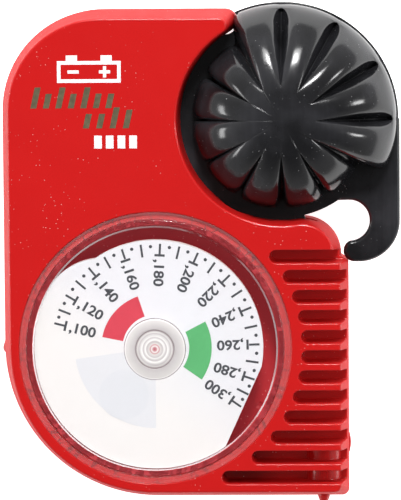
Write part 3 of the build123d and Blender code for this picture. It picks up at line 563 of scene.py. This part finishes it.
def hub_profile():
    """The raised hub on the pane: a bevelled disc with a dish of turned steps in its middle."""
    high, dish = WINDOW_TOP / MM, 0.12
    outside = [(HUB_R, DRUM_TOP + 0.02), (HUB_R - 0.1, high - 0.15), (HUB_R - 0.35, high)]
    steps = []
    for index, radius in enumerate(RING_STEPS):
        level = high - dish * (index % 2)
        steps += [(radius + 0.12, level), (radius, level - dish if index % 2 == 0 else level + dish)]
    return in_metres(outside + steps + [(0, high - dish), (0, DRUM_TOP + 0.02)])


for name, profile, material in (
    ("clear_dial_window", window_profile(), CLEAR),
    ("window_flange", flange_profile(), RIM),
    ("window_hub", hub_profile(), FROSTED),
):
    pane = lathe(name, profile, DIAL, "case", material, "clear_window")
    pane.visible_shadow = False
    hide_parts("dial_window")

# ---- the bulb ----

# The bulb's own measures, in millimetres; its flutes stand at every 30 degrees.
CROWN_R = 8.5
CASE_SIDE_R = 22.5
NOTCH_R = 20.6
FREE_FROM, FREE_TO = -30, 120
FLUTE_WIDE_R, FLUTE_END_R = 24.4, 27.6
FLUTE_HALF = {-30: 1.3, 0: 1.85, 30: 1.9, 60: 1.95, 90: 1.95, 120: 1.9}
FLUTE_HALF.update({150: 0.95, 180: 0.5, 210: 0.35, 240: 0.75, 270: 1.25, 300: 0.9})
PITCH = 30
FLUTE_STEEPNESS = 2.6
LOBE_ROLL = 1.5
LOBE_END_ROUND = 0.5
ROLL_LENGTH = 11
BULB_ROWS = 64
DOME_POWER = 2.3


def from_free_side(angle):
    """How far an angle stands inside the free side; negative beside the case."""
    turned_by = (angle - FREE_FROM) % 360
    if turned_by > 360 - PITCH / 2:
        turned_by -= 360
    return min(turned_by, FREE_TO - FREE_FROM - turned_by)


def flute_half(r, at):
    """Half the width of a flute at a radius: it opens from a point, and closes round on the free side."""
    at = (at + PITCH) % 360 - PITCH
    widest = FLUTE_HALF[at]
    if r <= CROWN_R:
        return 0.0
    if r < FLUTE_WIDE_R or from_free_side(at) < 1:
        return widest * min(1.15, ((r - CROWN_R) / (FLUTE_WIDE_R - CROWN_R)) ** 0.8)
    past = (r - FLUTE_WIDE_R) / (FLUTE_END_R - FLUTE_WIDE_R)
    return widest * math.sqrt(max(0.0, 1 - past**2))


def roll(radius):
    """How much of the lobes' roundness is reached at a radius."""
    return min(1.0, max(0.0, (radius - CROWN_R) / ROLL_LENGTH))


def bulb_mesh():
    """A low dome of twelve lobes with sharp V flutes, wide on the free side and narrow beside the case."""
    middle = Vector((BULB_LOW.x + CASE_SIDE_R * MM, BULB_LOW.y + CASE_SIDE_R * MM, BULB_LOW.z))
    free_r = (BULB_HIGH.x - middle.x) / MM
    height = (BULB_HIGH.z - BULB_LOW.z) / MM

    def outer_radius(angle, across):
        """The dome's radius at an angle; across runs from -1 to 1 over a lobe and is past it in a flute."""
        edge = min(1.0, max(0.0, (from_free_side(angle) + 2.0) / 5.0))
        blend = edge * edge * (3 - 2 * edge)
        notch = max(0.0, abs(across) - 1) * (CASE_SIDE_R - NOTCH_R)
        lobe_end = CASE_SIDE_R - LOBE_END_ROUND * min(1.0, abs(across)) ** 6 - notch
        return lobe_end * (1 - blend) + free_r * blend

    columns = []
    for at in range(0, 360, PITCH):
        columns += [(at, u, None) for u in (-1, -0.85, -0.6, -0.3, 0, 0.3, 0.6, 0.85, 1)]
        columns += [(at, None, i / 14) for i in range(1, 14)]
    vertices = []
    for row in range(1, BULB_ROWS + 1):
        phi = math.pi / 2 * (row / BULB_ROWS) ** 0.85
        out = math.sin(phi) ** (2 / DOME_POWER)
        up = max(0.0, math.cos(phi)) ** (2 / DOME_POWER)
        for at, u, v in columns:
            if u is not None:
                radius = outer_radius(at + 2 * u, 1 + (1 - abs(u))) * out
                half = flute_half(radius, at)
                angle = at + math.degrees(math.asin(min(1, half * u / max(radius, 0.01))))
                drop = FLUTE_STEEPNESS * half * (1 - abs(u)) + LOBE_ROLL * roll(radius)
            else:
                across = 2 * v - 1
                radius = outer_radius(at + PITCH * v, across) * out
                first = math.degrees(math.asin(min(1, flute_half(radius, at) / max(radius, 0.01))))
                last = math.degrees(math.asin(min(1, flute_half(radius, at + PITCH) / max(radius, 0.01))))
                angle = at + first + (PITCH - first - last) * v
                drop = LOBE_ROLL * roll(radius) * abs(across) ** 3
            flat = turned(angle, radius, middle)
            vertices.append((*flat, middle.z + max(0.0, height * up - drop) * MM))
    count = len(columns)
    faces = []
    for row in range(BULB_ROWS - 1):
        for i in range(count):
            j = (i + 1) % count
            faces.append((row * count + i, row * count + j, (row + 1) * count + j, (row + 1) * count + i))
    top, bottom = len(vertices), len(vertices) + 1
    vertices += [(middle.x, middle.y, middle.z + height * MM), tuple(middle)]
    last = (BULB_ROWS - 1) * count
    for i in range(count):
        j = (i + 1) % count
        faces.append((i, j, top))
        faces.append((last + j, last + i, bottom))
    return vertices, faces


bulb = new_piece("squeeze_bulb", "bulb", RUBBER, "bulb_black", *bulb_mesh())
bulb.data.set_sharp_from_angle(angle=math.radians(60))
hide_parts("suction_bulb")
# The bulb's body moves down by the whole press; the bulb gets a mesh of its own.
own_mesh(bulb)

# ---- marks on the front face, all generic ----

WHITE_INK = printed("white_ink", (0.86, 0.84, 0.86, 1), (0.80, 0.78, 0.80, 1))
FOIL = metal("gold_foil", (0.42, 0.36, 0.22, 1), (0.30, 0.27, 0.17, 1), 0.35)


def mm_shape(points):
    return [(x * MM, y * MM) for x, y in points]


def block(x0, y0, x1, y1, lean=0.0):
    """A rectangle or, with a lean in millimetres at its top, a slanted bar."""
    return mm_shape([(x0, y0), (x1, y0), (x1 + lean, y1), (x0 + lean, y1)])


def battery_mark(x, y, width, height, stroke):
    """The outline of a battery with two terminals, a minus and a plus."""
    right, top = x + width, y + height
    shapes = [
        block(x, y, right, y + stroke),
        block(x, top - stroke, right, top),
        block(x, y + stroke, x + stroke, top - stroke),
        block(right - stroke, y + stroke, right, top - stroke),
        block(x + 2.2, top, x + 5.0, top + 1.4),
        block(right - 5.0, top, right - 2.2, top + 1.4),
    ]
    centre_y = y + height / 2
    shapes.append(block(x + 2.6, centre_y - 0.4, x + 5.4, centre_y + 0.4))
    shapes.append(block(right - 5.4, centre_y - 0.4, right - 2.6, centre_y + 0.4))
    shapes.append(block(right - 4.4, centre_y - 1.4, right - 3.6, centre_y - 0.4))
    shapes.append(block(right - 4.4, centre_y + 0.4, right - 3.6, centre_y + 1.4))
    return shapes


def slanted_row(x, y, heights, pitch, width):
    return [
        block(x + i * pitch, y, x + i * pitch + width, y + tall, lean=0.22 * tall)
        for i, tall in enumerate(heights)
    ]


DECAL_T = 0.03 * MM
DASH_LOW, DASH_HIGH, DASH_WIDTH = 26.1, 29.3, 1.9
foil_bars = slanted_row(-42.0, 36.1, (5.2, 3.6, 5.2, 3.6, 5.2, 3.6, 3.6), 3.1, 1.5)
foil_bars += slanted_row(-29.0, 31.1, (3.6, 3.6, 5.2, 4.6), 3.3, 1.5)
dashes = [block(x, DASH_LOW, x + DASH_WIDTH, DASH_HIGH) for x in (-26.2, -23.3, -20.4, -17.5)]
for name, outlines, ink in (
    ("white_battery_mark", battery_mark(-35.3, 42.4, 15.8, 5.4, 0.9), WHITE_INK),
    ("gold_foil_mark", foil_bars, FOIL),
    ("white_dash_mark", dashes, WHITE_INK),
):
    printed_shape(name, outlines, ink, DECAL_T, "case", "label_print", FACE_Z)

# ---- floor, light and camera ----

floor_mesh = bpy.data.meshes.new("floor")
floor_mesh.from_pydata([(-3, -3, 0), (3, -3, 0), (3, 3, 0), (-3, 3, 0)], [], [(0, 1, 2, 3)])
floor = bpy.data.objects.new("floor", floor_mesh)
bpy.context.scene.collection.objects.link(floor)
pale = Paint("pale_floor")
pale.set(Base_Color=(0.92, 0.92, 0.92, 1), Roughness=0.7, Emission_Color=(1, 1, 1, 1), Emission_Strength=0.95)
floor_mesh.materials.append(pale.material)


def softbox(name, place, size, power, aim=(0, 0, 0.02)):
    light = bpy.data.lights.new(name, "AREA")
    light.shape = "RECTANGLE"
    light.size, light.size_y = size
    light.energy = power
    holder = bpy.data.objects.new(name, light)
    holder.location = place
    holder.rotation_euler = (Vector(aim) - Vector(place)).to_track_quat("-Z", "Y").to_euler()
    bpy.context.scene.collection.objects.link(holder)


softbox("top_softbox", (0.05, 0.78, 0.86), (0.50, 0.30), 6.0)
softbox("key_softbox", (0.07, 0.74, 0.90), (0.24, 0.14), 7.5)
softbox("left_softbox", (-0.85, -0.02, 0.36), (0.46, 0.16), 2.4)
softbox("right_softbox", (0.85, 0.10, 0.55), (0.16, 0.24), 2.2)

DARKEST_TOWARDS = (0.10, -0.25, 0.96)
world = bpy.data.worlds.new("studio")
world.use_nodes = True
tree = world.node_tree
direction = tree.nodes.new("ShaderNodeTexCoord")
overhead = tree.nodes.new("ShaderNodeVectorMath")
overhead.operation = "DOT_PRODUCT"
overhead.inputs[1].default_value = DARKEST_TOWARDS
shade = tree.nodes.new("ShaderNodeValToRGB")
shade.color_ramp.elements.new(0.6)
for element, (at, level) in zip(shade.color_ramp.elements, ((0.0, 0.76), (0.6, 0.49), (0.93, 0.11))):
    element.position = at
    element.color = grey(level)
tree.links.new(direction.outputs["Generated"], overhead.inputs[0])
tree.links.new(overhead.outputs["Value"], shade.inputs["Fac"])
tree.links.new(shade.outputs["Color"], tree.nodes["Background"].inputs["Color"])
bpy.context.scene.world = world

VIEW_FROM = Vector((0.035, 0.078, 1.2))
VIEW_ON = Vector((0, 0.0008, FACE_Z))
VIEW_UP = Vector((0.006, 1, 0))
VIEW_HEIGHT = 0.124
SENSOR = 36.0

camera_data = bpy.data.cameras.new("camera")
camera_data.sensor_width = SENSOR
camera_data.lens = SENSOR * VIEW_FROM.length / VIEW_HEIGHT
camera = bpy.data.objects.new("camera", camera_data)
camera.location = VIEW_ON + VIEW_FROM
back = VIEW_FROM.normalized()
right = VIEW_UP.cross(back).normalized()
camera.rotation_euler = Matrix((right, back.cross(right), back)).transposed().to_euler()
bpy.context.scene.collection.objects.link(camera)
bpy.context.scene.camera = camera
bpy.context.scene.view_settings.view_transform = "Standard"
